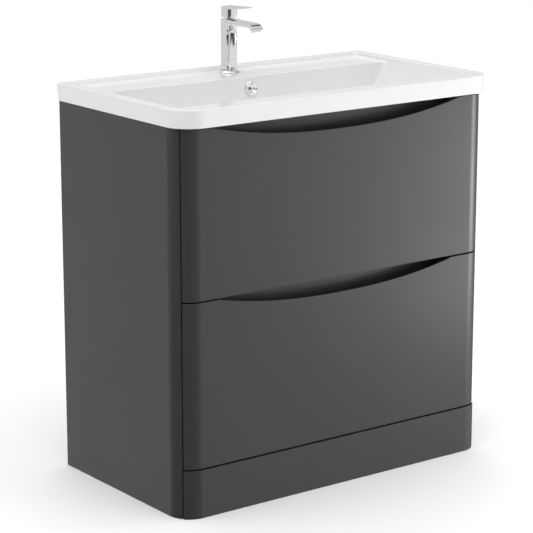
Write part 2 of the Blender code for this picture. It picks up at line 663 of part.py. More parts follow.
def make_tap_handle(mats):
    """Square stem that turns the cartridge, and the hollow cap with its flat lever that tilts on it."""
    swivel = empty("lever_swivel_axis", (0, TAP_Y, TAP_TOP))
    stem = rounded_outline(0.004, TAP_Y - 0.004, TAP_Y + 0.004, 0.001, 0.001, 2)
    prism("tap_stem", stem, "z", 0.9458, CAP_LOW + 0.0120, mats["steel"], swivel)
    tilt = empty("lever_tilt_axis", LEVER_PIVOT)
    loops = []
    for z, inset in ((CAP_LOW, 0.0006), (CAP_LOW + 0.0006, 0.0), (CAP_TOP, 0.0)):
        loops.append([(x, y, z) for x, y in cap_outline(TAP_HALF - inset, 0.011)])
    bm = bmesh.new()
    add_loft(bm, loops)
    cap = finish("tap_cap", bm, mats["chrome"], tilt, smooth=True)
    pocket = rounded_outline(0.0125, TAP_Y - 0.0125, TAP_Y + 0.0135, 0.006, 0.001, 4)
    combine(cap, prism("cap_pocket", pocket, "z", CAP_LOW - 0.01, CAP_TOP - 0.0025, None, tilt))
    heel = [(TAP_Y + TAP_HALF + 0.001, CAP_LOW - 0.001), (TAP_Y + TAP_HALF + 0.001, CAP_LOW + 0.0040),
            (TAP_Y + TAP_HALF - 0.0040, CAP_LOW - 0.001)]
    combine(cap, prism("cap_heel_cut", heel, "x", -0.02, 0.02, None, tilt))
    base = CAP_TOP + GAP
    rise = tan(LEVER_RISE)
    back = TAP_Y + TAP_HALF - 0.0005
    front = TAP_Y - LEVER_REACH
    length = back - front
    outline = [(back, base), (back, base + 0.0036), (back - 0.0008, base + 0.0044),
               (front + 0.0010, base + 0.0034 + length * rise), (front, base + 0.0024 + length * rise),
               (front + 0.0008, base + 0.0008 + length * rise), (TAP_Y - TAP_HALF, base)]
    prism("tap_lever", outline, "x", -0.0130, 0.0130, mats["chrome"], tilt)


def main():
    clear_scene()
    mats = make_materials()
    for side, sign in both_sides():
        make_side_panel(side, sign, mats)
    make_plinth(mats)
    make_boards(mats)
    for label, spec in DRAWERS.items():
        make_drawer(label, spec, mats)
    make_basin(mats)
    make_overflow_ring(mats)
    make_waste(mats)
    make_trap(mats)
    make_tap_body(mats)
    make_tap_parts(mats)
    make_tap_handle(mats)


main()
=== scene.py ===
"""Looks of a two-drawer bathroom vanity cabinet with a ceramic basin and a single-lever mixer tap.

Metres, +Z up, the drawers face -Y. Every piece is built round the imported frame's boxes.
"""
import json
from math import atan2, cos, pi, radians, sin, tan

import bmesh
import bpy
from mathutils import Matrix, Vector


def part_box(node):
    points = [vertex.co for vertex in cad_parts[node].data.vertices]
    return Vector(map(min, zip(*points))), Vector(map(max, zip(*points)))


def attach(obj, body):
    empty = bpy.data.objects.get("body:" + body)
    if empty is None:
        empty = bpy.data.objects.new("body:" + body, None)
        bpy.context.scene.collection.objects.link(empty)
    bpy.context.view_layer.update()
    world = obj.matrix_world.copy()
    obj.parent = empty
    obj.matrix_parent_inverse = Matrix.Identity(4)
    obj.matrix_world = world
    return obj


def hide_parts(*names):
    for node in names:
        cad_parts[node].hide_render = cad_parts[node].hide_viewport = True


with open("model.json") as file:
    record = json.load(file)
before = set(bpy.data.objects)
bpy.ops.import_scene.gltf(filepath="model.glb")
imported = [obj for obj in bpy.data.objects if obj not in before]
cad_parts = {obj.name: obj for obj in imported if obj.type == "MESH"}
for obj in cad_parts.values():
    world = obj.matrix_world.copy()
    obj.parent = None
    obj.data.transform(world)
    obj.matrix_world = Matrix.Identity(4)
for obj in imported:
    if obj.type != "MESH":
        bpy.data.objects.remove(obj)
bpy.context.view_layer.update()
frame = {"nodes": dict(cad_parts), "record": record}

# ---------------------------------------------------------------- places read from the frame
CAB_HALF_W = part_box("side_panel_right")[1].x
BACK_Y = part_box("side_panel_right")[1].y
CARCASS_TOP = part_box("side_panel_right")[1].z
FRONT_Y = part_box("upper_drawer_front")[0].y
PLINTH_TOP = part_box("plinth_front")[1].z
PLINTH_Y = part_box("plinth_front")[0].y
BASIN_HALF_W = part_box("basin")[1].x
BASIN_HALF_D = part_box("basin")[1].y
BASIN_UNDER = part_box("basin")[0].z
RIM_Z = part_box("basin")[1].z
TAP_Y = (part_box("tap_base_ring")[0].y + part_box("tap_base_ring")[1].y) / 2
RING_LOW, RING_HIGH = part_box("tap_base_ring")
BODY_LOW, BODY_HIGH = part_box("tap_body")
CAP_LOW, CAP_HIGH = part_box("tap_cap")
LEVER_LOW, LEVER_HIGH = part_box("tap_lever")
WASTE_Y = (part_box("waste_body")[0].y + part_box("waste_body")[1].y) / 2
TRAP_Z = (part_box("trap_outlet_pipe")[0].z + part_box("trap_outlet_pipe")[1].z) / 2

# ---------------------------------------------------------------- shape
CORNER_R = 0.048
SEAM_ANGLE = radians(41)
SEAM_GAP = 0.0019
BOARD = 0.018
FRONT_T = 0.022
EDGE = 0.0008                # rounding of lacquered edges

SCOOP_HALF = 0.308
SCOOP_SAG = 0.0295
SCOOP_POWER = 2.3
SCOOP_DEPTH = 0.0328         # from the front's top edge to the lowest point of its scoop
LOWER_SCOOP_DEPTH = 0.0293
SCOOP_BEVEL = 0.017

SKIRT_LOW = 0.800            # underside of the basin's skirt
DECK_Z = 0.830
HOLLOW_TOP = 0.815
BASIN_FRONT_R = 0.057
BASIN_BACK_R = 0.004
BASIN_TAPER = 0.0015
BOWL_FLOOR = 0.712
BOWL_WALL = 0.0115
SKIRT_WALL = 0.0155
BOWL_HALF_TOP = 0.382
BOWL_FRONT_TOP = -0.183
BOWL_BACK_TOP = 0.101
BOWL_END_SLOPE = radians(33)
BOWL_FRONT_SLOPE = radians(35)
BOWL_BACK_SLOPE = radians(8)
RECESS_BACK = 0.207
OVERFLOW_Z = 0.804
OVERFLOW_HOLE_R = 0.0105
TAP_HOLE_R = 0.0175
WASTE_HOLE_R = 0.023
FLOOR_FALL = 0.002           # the bowl's floor runs down to the waste by this much

WASTE_R = 0.0209             # threaded tail under the bowl
WASTE_BORE_R = 0.0160
WASTE_FOOT = 0.6350
TRAP_NECK_TOP = 0.6342
NUT_BORE_R = 0.0213

TAP_HALF_W = 0.0130
TAP_HALF_D = 0.0145
STRAP_FRONT = 0.0060         # the strap's front face stands this far in front of the tap's axis
SPOUT_REACH = 0.105
SPOUT_DROP = 0.0957          # the spout's tip over the column's foot
ARCH_R = 0.024               # under the spout, where it leaves the column
PILLAR_R = 0.0100
PILLAR_TOP = 0.923
CARTRIDGE_R = 0.0098
CARTRIDGE_LOW = 0.9262
CARTRIDGE_TOP = 0.9455
THREAD_R = 0.0155
THREAD_PITCH = 0.0015

SIDES = {"left": -1, "right": 1}
BRACKET_SHEET = 0.0025
RUNNER_SHEET = 0.0014
CAGE_HALF = 0.0150
BALL_R = 0.0022

# ---------------------------------------------------------------- studio
# Brightness of its walls below and above the viewer's height and just under the ceiling, as
# (degrees from the front towards the right, brightness).
LOW_WALL = ((-180, 1.1), (-160, 0.92), (-142, 0.66), (-115, 0.05), (-30, 0.06), (20, 0.16), (38, 0.87),
            (55, 1.05), (90, 0.45), (130, 0.2), (155, 0.6), (180, 1.1))
HIGH_WALL = ((-180, 0.6), (-155, 0.3), (-90, 0.2), (-50, 0.3), (0, 0.55), (40, 0.75), (100, 0.6),
             (125, 0.5), (145, 0.62), (165, 0.62), (180, 0.6))
SHOULDER = ((-180, 1.5), (30, 1.5), (50, 0.12), (125, 0.12), (140, 1.4), (180, 1.5))
WALL_MAX = 2.0
CEILING = 1.62
GROUND = 0.15

# ---------------------------------------------------------------- camera, fitted to the photo's edges
CAMERA_PLACE = (-2.658, -3.533, 1.515)
CAMERA_AZIMUTH = radians(36.635)
CAMERA_DOWN = radians(13.794)
CAMERA_LENS = 142.92
CAMERA_SENSOR = 36.0


# ---------------------------------------------------------------- materials
class Shader:
    """A Principled material with short ways to add its patterns."""

    def __init__(self, name, colour, roughness, metallic=0.0):
        self.mat = bpy.data.materials.new(name)
        self.mat.use_nodes = True
        self.tree = self.mat.node_tree
        self.bsdf = self.tree.nodes["Principled BSDF"]
        self.bsdf.inputs["Base Color"].default_value = (*colour, 1.0)
        self.bsdf.inputs["Roughness"].default_value = roughness
        self.bsdf.inputs["Metallic"].default_value = metallic
        self.colour = colour
        self.place = self.tree.nodes.new("ShaderNodeTexCoord").outputs["Object"]
        self.height = None

    def link(self, source, target):
        self.tree.links.new(source, target)

    def noise(self, scale, detail=2.0, stretch=None):
        """Noise in the piece's own metres, with scale features to the metre, pulled out along stretch."""
        place = self.place
        if stretch:
            mapping = self.tree.nodes.new("ShaderNodeMapping")
            mapping.inputs["Scale"].default_value = stretch
            self.link(place, mapping.inputs["Vector"])
            place = mapping.outputs["Vector"]
        node = self.tree.nodes.new("ShaderNodeTexNoise")
        node.inputs["Scale"].default_value = scale
        node.inputs["Detail"].default_value = detail
        self.link(place, node.inputs["Vector"])
        return node.outputs["Fac"]

    def spread(self, source, low, high):
        """The pattern's middle range, mapped to low and high."""
        node = self.tree.nodes.new("ShaderNodeMapRange")
        node.inputs["From Min"].default_value = 0.3
        node.inputs["From Max"].default_value = 0.7
        node.inputs["To Min"].default_value = low
        node.inputs["To Max"].default_value = high
        self.link(source, node.inputs["Value"])
        return node.outputs["Result"]

    def tint(self, source, low, high):
        """Base colour times a factor that runs from low to high with the pattern."""
        mix = self.tree.nodes.new("ShaderNodeMix")
        mix.data_type = "RGBA"
        mix.inputs["A"].default_value = (*[channel * low for channel in self.colour], 1.0)
        mix.inputs["B"].default_value = (*[min(1.0, channel * high) for channel in self.colour], 1.0)
        self.link(self.spread(source, 0.0, 1.0), mix.inputs["Factor"])
        self.link(mix.outputs["Result"], self.bsdf.inputs["Base Color"])
        return self

    def blotch(self, source, low, high):
        self.link(self.spread(source, low, high), self.bsdf.inputs["Roughness"])
        return self

    def bump(self, source, height, strength=1.0):
        """Relief of the pattern, height metres deep. A second call adds a second relief."""
        node = self.tree.nodes.new("ShaderNodeBump")
        node.inputs["Distance"].default_value = height
        node.inputs["Strength"].default_value = strength
        self.link(source, node.inputs["Height"])
        if self.height:
            self.link(self.height, node.inputs["Normal"])
        self.height = node.outputs["Normal"]
        self.link(self.height, self.bsdf.inputs["Normal"])
        return self

    def set(self, **values):
        for socket, value in values.items():
            self.bsdf.inputs[socket.replace("_", " ")].default_value = value
        return self


def make_materials():
    lacquer = Shader("anthracite_lacquer", (0.0350, 0.0362, 0.0395), 0.36)
    lacquer.tint(lacquer.noise(7.0, 3.0), 0.97, 1.03).blotch(lacquer.noise(16.0, 3.0), 0.35, 0.39)
    lacquer.bump(lacquer.noise(820.0, 1.0), 0.00003, 0.35)

    board = Shader("grey_melamine", (0.115, 0.118, 0.125), 0.55)
    board.tint(board.noise(900.0, 4.0), 0.88, 1.12).blotch(board.noise(60.0, 3.0), 0.48, 0.62)
    board.bump(board.noise(1400.0, 2.0), 0.00006, 0.5)

    ceramic = Shader("white_glaze", (0.79, 0.79, 0.788), 0.10)
    ceramic.tint(ceramic.noise(5.0, 2.0), 0.995, 1.005).blotch(ceramic.noise(30.0, 2.0), 0.08, 0.13)
    ceramic.bump(ceramic.noise(22.0, 1.0), 0.0003, 0.10)
    ceramic.set(Specular_IOR_Level=0.4, Coat_Weight=0.1, Coat_Roughness=0.05)

    chrome = Shader("polished_chrome", (0.86, 0.87, 0.88), 0.04, 1.0)
    chrome.tint(chrome.noise(40.0, 2.0), 0.985, 1.01).blotch(chrome.noise(120.0, 4.0), 0.03, 0.06)
    chrome.bump(chrome.noise(90.0, 1.0), 0.00002, 0.15)

    steel = Shader("zinc_steel", (0.56, 0.57, 0.59), 0.32, 1.0)
    steel.tint(steel.noise(35.0, 3.0), 0.92, 1.06)
    steel.blotch(steel.noise(300.0, 4.0, (1.0, 0.05, 1.0)), 0.24, 0.42)
    steel.bump(steel.noise(500.0, 3.0, (1.0, 0.03, 1.0)), 0.00004, 0.3)

    metal = Shader("drawer_side_coat", (0.23, 0.235, 0.245), 0.42)
    metal.tint(metal.noise(500.0, 2.0), 0.95, 1.05).blotch(metal.noise(40.0, 2.0), 0.38, 0.48)
    metal.bump(metal.noise(1600.0, 2.0), 0.00005, 0.5)

    plastic = Shader("white_plastic", (0.78, 0.78, 0.765), 0.34)
    plastic.tint(plastic.noise(25.0, 2.0), 0.985, 1.01).blotch(plastic.noise(200.0, 3.0), 0.30, 0.40)
    plastic.bump(plastic.noise(700.0, 2.0), 0.00004, 0.3)

    rubber = Shader("black_rubber", (0.022, 0.022, 0.023), 0.75)
    rubber.tint(rubber.noise(80.0, 3.0), 0.9, 1.15).blotch(rubber.noise(150.0, 3.0), 0.68, 0.85)
    rubber.bump(rubber.noise(1200.0, 3.0), 0.00008, 0.6)

    floor = Shader("pale_floor", (0.96, 0.96, 0.96), 0.8)
    floor.tint(floor.noise(0.7, 2.0), 0.998, 1.002)
    floor.set(Specular_IOR_Level=0.1)
    return {
        "anthracite_paint": lacquer.mat,
        "grey_board": board.mat,
        "white_ceramic": ceramic.mat,
        "chrome": chrome.mat,
        "steel": steel.mat,
        "drawer_metal": metal.mat,
        "white_plastic": plastic.mat,
        "rubber": rubber.mat,
        "floor": floor.mat,
    }


MATERIALS = make_materials()
SLOT_OF = {part["node"]: part["material_slot"] for part in frame["record"]["subparts"]}
BODY_OF = {node: body for body, nodes in frame["record"]["behaviour"]["bodies"].items() for node in nodes}


# ---------------------------------------------------------------- paths and meshes
def rounded_corner(before, corner, after, radius, steps):
    """Points that round one corner of a path, from tangent point to tangent point."""
    into, out = corner - before, after - corner
    turn = into.angle(out, 0.0) if into.length > 0 and out.length > 0 else 0.0
    reach = max(radius * tan(min(turn, radians(150)) / 2), radius * 0.2)
    reach = min(reach, 0.45 * into.length, 0.45 * out.length)
    start = corner - into.normalized() * reach
    end = corner + out.normalized() * reach
    points = []
    for i in range(steps + 1):
        t = i / steps
        points.append(start * (1 - t) ** 2 + corner * (2 * t * (1 - t)) + end * t ** 2)
    return points


def rounded_loop(points, radii, steps):
    """A closed path with each corner rounded to its own radius."""
    count = len(points)
    path = []
    for i, corner in enumerate(points):
        path += rounded_corner(points[i - 1], corner, points[(i + 1) % count], radii[i], steps[i])
    return path


def arc(centre, radius, start, end, steps):
    """Points on a circle from one angle to another, both included."""
    return [
        (centre[0] + radius * cos(start + (end - start) * i / steps),
         centre[1] + radius * sin(start + (end - start) * i / steps))
        for i in range(steps + 1)
    ]


def spaced(start, end, steps):
    """Evenly spaced values from start to end, both included."""
    return [start + (end - start) * i / steps for i in range(steps + 1)]


def skin(rings, closed=False):
    """A mesh through loops of equal length, closed into a tube or capped at both ends."""
    bm = bmesh.new()
    made = [[bm.verts.new(co) for co in ring] for ring in rings]
    count = len(made[0])
    pairs = list(zip(made, made[1:]))
    if closed:
        pairs.append((made[-1], made[0]))
    for lower, upper in pairs:
        for i in range(count):
            j = (i + 1) % count
            bm.faces.new((lower[i], lower[j], upper[j], upper[i]))
    if not closed:
        bm.faces.new(made[0])
        bm.faces.new(made[-1])
    return bm


def rectangle(x0, y0, x1, y1):
    """Corners of a rectangle from two opposite ones."""
    return [(x0, y0), (x1, y0), (x1, y1), (x0, y1)]


def prism(outline, axis, start, end):
    """Extrude a flat outline along an axis. On x the outline is (y, z), on y (x, z), on z (x, y)."""
    place = {"x": lambda a, b, t: (t, a, b), "y": lambda a, b, t: (a, t, b), "z": lambda a, b, t: (a, b, t)}
    return skin([[place[axis](a, b, t) for a, b in outline] for t in (start, end)])


def turned(profile, place, axis="z", segments=64):
    """Spin a closed (radius, height) profile about an axis through place."""
    turn = {"x": lambda r, h, a: (h, r * cos(a), r * sin(a)),
            "y": lambda r, h, a: (r * cos(a), h, r * sin(a)),
            "z": lambda r, h, a: (r * cos(a), r * sin(a), h)}
    rings = []
    for i in range(segments):
        angle = 2 * pi * i / segments
        rings.append([Vector(place) + Vector(turn[axis](r, h, angle)) for r, h in profile])
    bm = skin(rings, closed=True)
    bmesh.ops.remove_doubles(bm, verts=bm.verts, dist=0.000005)
    return bm


def smooth_profile(points, radius, steps=3):
    """A closed (radius, height) profile with rounded corners, except for those on the axis."""
    path = [Vector((r, 0.0, h)) for r, h in points]
    radii = [0.0 if r == 0.0 else radius for r, _ in points]
    return [(point.x, point.z) for point in rounded_loop(path, radii, [steps] * len(path))]


def piece(name, bm, body, slot, replaces=(), bevel=0.0, sharp=35.0, segments=3):
    """Make the mesh an object that rides on a body, with its finish, its edges and its shading."""
    bmesh.ops.recalc_face_normals(bm, faces=bm.faces)
    mesh = bpy.data.meshes.new(name)
    bm.to_mesh(mesh)
    bm.free()
    mesh.materials.append(MATERIALS[slot])
    mesh.shade_smooth()
    mesh.set_sharp_from_angle(angle=radians(sharp))
    obj = bpy.data.objects.new(name, mesh)
    bpy.context.scene.collection.objects.link(obj)
    if bevel:
        modifier = obj.modifiers.new("rounded_edges", "BEVEL")
        modifier.width = bevel
        modifier.segments = segments
        modifier.limit_method = "ANGLE"
        modifier.angle_limit = radians(30)
    modifier = obj.modifiers.new("flat_faces_stay_flat", "WEIGHTED_NORMAL")
    modifier.keep_sharp = True
    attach(obj, body)
    if replaces:
        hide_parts(*replaces)
    return obj


def stand_in(node, bm, **options):
    """A finer mesh for one CAD node, with the node's body and finish."""
    return piece(f"{node}_fine", bm, BODY_OF[node], SLOT_OF[node], (node,), **options)


def cut(obj, bm, operation="DIFFERENCE"):
    """Cut the object's own mesh with another mesh, or join them."""
    bmesh.ops.recalc_face_normals(bm, faces=bm.faces)
    mesh = bpy.data.meshes.new("tool")
    bm.to_mesh(mesh)
    bm.free()
    tool = bpy.data.objects.new("tool", mesh)
    bpy.context.scene.collection.objects.link(tool)
    modifier = obj.modifiers.new("cut", "BOOLEAN")
    modifier.operation = operation
    modifier.solver = "EXACT"
    modifier.object = tool
    while obj.modifiers[0] != modifier:
        bpy.context.view_layer.objects.active = obj
        obj.modifiers.move(len(obj.modifiers) - 1, 0)
    stack = [m for m in obj.modifiers if m != modifier]
    shown = [m.show_viewport for m in stack]
    for m in stack:
        m.show_viewport = False
    result = bpy.data.meshes.new_from_object(obj.evaluated_get(bpy.context.evaluated_depsgraph_get()))
    obj.modifiers.remove(modifier)
    for m, state in zip(stack, shown):
        m.show_viewport = state
    result.name = obj.name
    obj.data = result
    bpy.data.objects.remove(tool, do_unlink=True)


def refine(node, width=0.0008):
    """A CAD board or sheet again, as whole flat faces with rounded edges."""
    bm = bmesh.new()
    bm.from_mesh(frame["nodes"][node].data)
    bmesh.ops.remove_doubles(bm, verts=bm.verts, dist=0.000002)
    bmesh.ops.dissolve_limit(bm, angle_limit=radians(1), verts=bm.verts, edges=bm.edges)
    return stand_in(node, bm, bevel=width, segments=2)


# ---------------------------------------------------------------- cabinet
def bent_board(columns, section):
    """Board that follows a plan path. A column is (x, y, normal x, normal y, inset) on the board's outer
    face, and section gives the board's (depth, height) outline there."""
    rings = []
    for x, y, normal_x, normal_y, inset in columns:
        rings.append([(x - normal_x * depth, y - normal_y * depth, z) for depth, z in section(x, inset)])
    return skin(rings)


def corner_columns(radius, start, end, steps, ease_start=False):
    """Columns round the left front corner, with a rounded edge at the seam if it starts there."""
    centre = (-CAB_HALF_W + CORNER_R, FRONT_Y + CORNER_R)
    angles = spaced(start, end, steps)
    insets = [0.0] * len(angles)
    if ease_start:
        turn = EDGE / radius if end > start else -EDGE / radius
        angles[:1] = [start, start + turn * 0.3, start + turn]
        insets[:1] = [EDGE, EDGE * 0.3, 0.0]
    columns = []
    for angle, inset in zip(angles, insets):
        out_x, out_y = cos(angle), sin(angle)
        columns.append((centre[0] + radius * out_x, centre[1] + radius * out_y, out_x, out_y, inset))
    return columns


def mirrored(columns):
    return [(-x, y, -normal_x, normal_y, inset) for x, y, normal_x, normal_y, inset in columns][::-1]


def plain_section(low, high, thickness):
    def section(_, inset):
        points = [Vector((inset, 0, low + inset)), Vector((inset, 0, high - inset)),
                  Vector((thickness - inset, 0, high - inset)), Vector((thickness - inset, 0, low + inset))]
        return [(p.x, p.z) for p in rounded_loop(points, [EDGE] * 4, [3] * 4)]
    return section


def make_side_panels():
    seam = pi + SEAM_ANGLE - SEAM_GAP / CORNER_R / 2
    bend = corner_columns(CORNER_R, seam, pi, 24, ease_start=True)
    flat = [(-CAB_HALF_W, y, -1.0, 0.0, 0.0) for y in spaced(FRONT_Y + CORNER_R, BACK_Y - EDGE, 6)[1:]]
    end = [(-CAB_HALF_W, BACK_Y - EDGE * 0.3, -1.0, 0.0, EDGE * 0.3),
           (-CAB_HALF_W, BACK_Y, -1.0, 0.0, EDGE)]
    columns = bend + flat + end
    section = plain_section(0.0, CARCASS_TOP, BOARD)
    stand_in("side_panel_left", bent_board(columns, section))
    stand_in("side_panel_right", bent_board(mirrored(columns), section))


def front_columns(radius, face_y, breaks):
    """Columns of a full-width front from its left seam to its right one, with extra ones at breaks."""
    seam = pi + SEAM_ANGLE + SEAM_GAP / CORNER_R / 2
    left = corner_columns(radius, seam, 1.5 * pi, 24, ease_start=True)
    flat = [(x, face_y, 0.0, -1.0, 0.0) for x in breaks]
    return left + flat + mirrored(left)


def make_plinth():
    radius = CORNER_R + FRONT_Y - PLINTH_Y
    flat = spaced(-CAB_HALF_W + CORNER_R, CAB_HALF_W - CORNER_R, 8)[1:-1]
    stand_in("plinth_front", bent_board(front_columns(radius, PLINTH_Y, flat),
                                        plain_section(0.0, PLINTH_TOP, BOARD)))


def scoop_section(low, top, deepest):
    """Section of a drawer front whose top edge dips into the finger scoop and is undercut behind it."""
    half = SCOOP_HALF * (deepest / SCOOP_SAG) ** (1 / SCOOP_POWER)

    def section(x, inset):
        face, back = top, top
        if abs(x) < half:
            face = top - deepest + SCOOP_SAG * (abs(x) / SCOOP_HALF) ** SCOOP_POWER
            back = face - SCOOP_BEVEL * (1 - (abs(x) / half) ** 4)
        points = [Vector((inset, 0, low + inset)), Vector((inset, 0, face - inset)),
                  Vector((FRONT_T - inset, 0, back - inset)), Vector((FRONT_T - inset, 0, low + inset))]
        return [(p.x, p.z) for p in rounded_loop(points, [EDGE, EDGE * 1.5, EDGE, EDGE], [3, 4, 3, 3])]
    return section, half


def make_fronts():
    for label, deepest in (("upper", SCOOP_DEPTH), ("lower", LOWER_SCOOP_DEPTH)):
        low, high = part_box(f"{label}_drawer_front")
        section, half = scoop_section(low.z, high.z, deepest)
        edge_x = CAB_HALF_W - CORNER_R
        breaks = spaced(-edge_x, -half, 3)[1:] + spaced(-half, half, 96)[1:-1]
        breaks += spaced(half, edge_x, 3)[:-1]
        stand_in(f"{label}_drawer_front", bent_board(front_columns(CORNER_R, FRONT_Y, breaks), section))


def make_boards():
    boards = ["plinth_rail", "bottom_panel", "back_panel", "back_rail_top", "back_rail_foot",
              "front_rail_top", "front_rail_middle",
              "upper_drawer_bottom", "upper_drawer_back_left", "upper_drawer_back_right",
              "upper_drawer_notch_wall", "lower_drawer_bottom", "lower_drawer_back"]
    for node in boards:
        refine(node)


# ---------------------------------------------------------------- basin
FRONT_STEPS, CORNER_STEPS, SIDE_STEPS, LEDGE_STEPS, BACK_CORNER_STEPS, BACK_STEPS = 24, 20, 14, 12, 6, 30
LEDGE_FROM = BOWL_BACK_TOP - 0.008       # the ring's points behind this belong to the ledge


def half_ring(half, front, back, front_r, back_r, ledge):
    """Left half of a plan ring, from the middle of the front to the middle of the back. With ledge, some
    points run along the ledge's end, and without it they go round the bowl's back corner."""
    points = [(-x, front) for x in spaced(0, half - front_r, FRONT_STEPS)]
    points += arc((-half + front_r, front + front_r), front_r, 1.5 * pi, pi, CORNER_STEPS)[1:]
    side_end = LEDGE_FROM if ledge else back - back_r
    points += [(-half, y) for y in spaced(front + front_r, side_end, SIDE_STEPS)[1:]]
    if ledge:
        points += [(-half, y) for y in spaced(side_end, back - back_r, LEDGE_STEPS)[1:]]
        points += arc((-half + back_r, back - back_r), back_r, pi, 0.5 * pi, BACK_CORNER_STEPS)[1:]
        points += [(x, back) for x in spaced(-half + back_r, 0, BACK_STEPS)[1:]]
        return points
    points += arc((-half + back_r, back - back_r), back_r, pi, 0.5 * pi, LEDGE_STEPS)[1:]
    points += [(x, back) for x in spaced(-half + back_r, 0, BACK_CORNER_STEPS + BACK_STEPS)[1:]]
    return points


def ring(half, front, back, front_r, back_r, z, ledge=True):
    left = half_ring(half, front, back, front_r, back_r, ledge)
    right = [(-x, y) for x, y in left[-2:0:-1]]
    return [Vector((x, y, z)) for x, y in left + right]


def bowl_ring(z, extra, front_r, back_r, ledge=False):
    """Plan of the bowl at a height, grown outwards by extra."""
    drop = RIM_Z - z
    half = BOWL_HALF_TOP - drop * tan(BOWL_END_SLOPE) + extra
    front = BOWL_FRONT_TOP + drop * tan(BOWL_FRONT_SLOPE) - extra
    back = BOWL_BACK_TOP - (DECK_Z - z) * tan(BOWL_BACK_SLOPE) + extra
    if ledge:
        back = RECESS_BACK + max(0.0, z - DECK_Z) * 0.65
    return ring(half, front, back, front_r, back_r, z, ledge)


def circle_under(points, radius, z):
    """A ring's points drawn in to a circle round the waste, each in its own direction."""
    half_x = max(abs(p.x) for p in points)
    half_y = (max(p.y for p in points) - min(p.y for p in points)) / 2
    made = []
    for p in points:
        angle = atan2((p.y - WASTE_Y) / half_y, p.x / half_x)
        made.append(Vector((radius * cos(angle), WASTE_Y + radius * sin(angle), z)))
    return made


def basin_rings():
    """Corner rings of the basin's whole skin with the radius and steps of their rounding, from the skirt's
    foot up over the rim, down the bowl, through the waste hole and back under the ledge."""
    taper = BASIN_TAPER
    skirt = ring(BASIN_HALF_W - taper, -BASIN_HALF_D + taper, BASIN_HALF_D - taper,
                 BASIN_FRONT_R - taper, BASIN_BACK_R, SKIRT_LOW)
    outline = ring(BASIN_HALF_W, -BASIN_HALF_D, BASIN_HALF_D, BASIN_FRONT_R, BASIN_BACK_R, RIM_Z)
    inner_rim = bowl_ring(RIM_Z, 0.0, 0.012, 0.010, ledge=True)
    ledge_foot = bowl_ring(DECK_Z + 0.0004, 0.0, 0.012, 0.008, ledge=True)
    bowl_edge = bowl_ring(DECK_Z - 0.0004, 0.0, 0.012, 0.008)
    for point in bowl_edge:
        if point.y > LEDGE_FROM:
            point.z = DECK_Z
    for point in ledge_foot:
        if point.y > LEDGE_FROM:
            point.z = DECK_Z
    floor = bowl_ring(BOWL_FLOOR, 0.0, 0.030, 0.022)
    waste_top = circle_under(floor, WASTE_HOLE_R, BOWL_FLOOR - 0.0002)
    waste_low = circle_under(floor, WASTE_HOLE_R, BASIN_UNDER)
    under_floor = bowl_ring(BASIN_UNDER, BOWL_WALL - 0.002, 0.038, 0.030)
    under_wall = bowl_ring(HOLLOW_TOP, BOWL_WALL, 0.022, 0.020)
    half, depth = BASIN_HALF_W - SKIRT_WALL, BASIN_HALF_D - SKIRT_WALL
    hollow_top, hollow_low = [ring(half, -depth, depth, 0.042, 0.006, z) for z in (HOLLOW_TOP, SKIRT_LOW)]
    for point in floor:
        reach = min(1.0, abs(point.x) / 0.25)
        point.z += FLOOR_FALL * reach
    return [(skirt, 0.0012, 2), (outline, 0.0032, 5), (inner_rim, 0.0026, 5), (ledge_foot, 0.0030, 4),
            (bowl_edge, 0.0030, 4), (floor, 0.024, 9), (waste_top, 0.0020, 3), (waste_low, 0.0010, 2),
            (under_floor, 0.020, 4), (under_wall, 0.006, 3), (hollow_top, 0.003, 2), (hollow_low, 0.002, 2)]


def rod(radius, place, length, axis):
    """Plain cylinder from place along an axis."""
    a, b, start = {"y": (place[0], place[2], place[1]), "z": (place[0], place[1], place[2])}[axis]
    outline = [(a + u, b + v) for u, v in arc((0, 0), radius, 0, 2 * pi, 48)[:-1]]
    return prism(outline, axis, start, start + length)


def make_basin():
    corners = basin_rings()
    radii = [radius for _, radius, _ in corners]
    steps = [count for _, _, count in corners]
    stations = len(corners[0][0])
    meridians = [rounded_loop([points[i] for points, _, _ in corners], radii, steps)
                 for i in range(stations)]
    basin = stand_in("basin", skin(meridians, closed=True), sharp=40.0)
    cut(basin, rod(OVERFLOW_HOLE_R, (0, BOWL_BACK_TOP - 0.021, OVERFLOW_Z), 0.045, "y"))
    cut(basin, rod(TAP_HOLE_R, (0, TAP_Y, DECK_Z - 0.025), 0.035, "z"))


def make_overflow_ring():
    """Chrome trim: a rounded lip and a funnel that leads into the overflow hole."""
    wall_y = BOWL_BACK_TOP - (DECK_Z - OVERFLOW_Z) * tan(BOWL_BACK_SLOPE)
    lip = [(0.0155, -0.0002), (0.0155, -0.0014), (0.0146, -0.0028), (0.0132, -0.0028), (0.0118, -0.0008),
           (0.0084, 0.0030), (0.0030, 0.0046), (0.0030, 0.0062), (0.0094, 0.0062), (0.0094, -0.0002)]
    bm = turned(smooth_profile(lip, 0.0007, 4), (0, 0, 0), "y", 96)
    place = Matrix.Translation((0, wall_y - 0.0006, OVERFLOW_Z)) @ Matrix.Rotation(-BOWL_BACK_SLOPE, 4, "X")
    bmesh.ops.transform(bm, matrix=place, verts=bm.verts)
    stand_in("overflow_ring", bm)


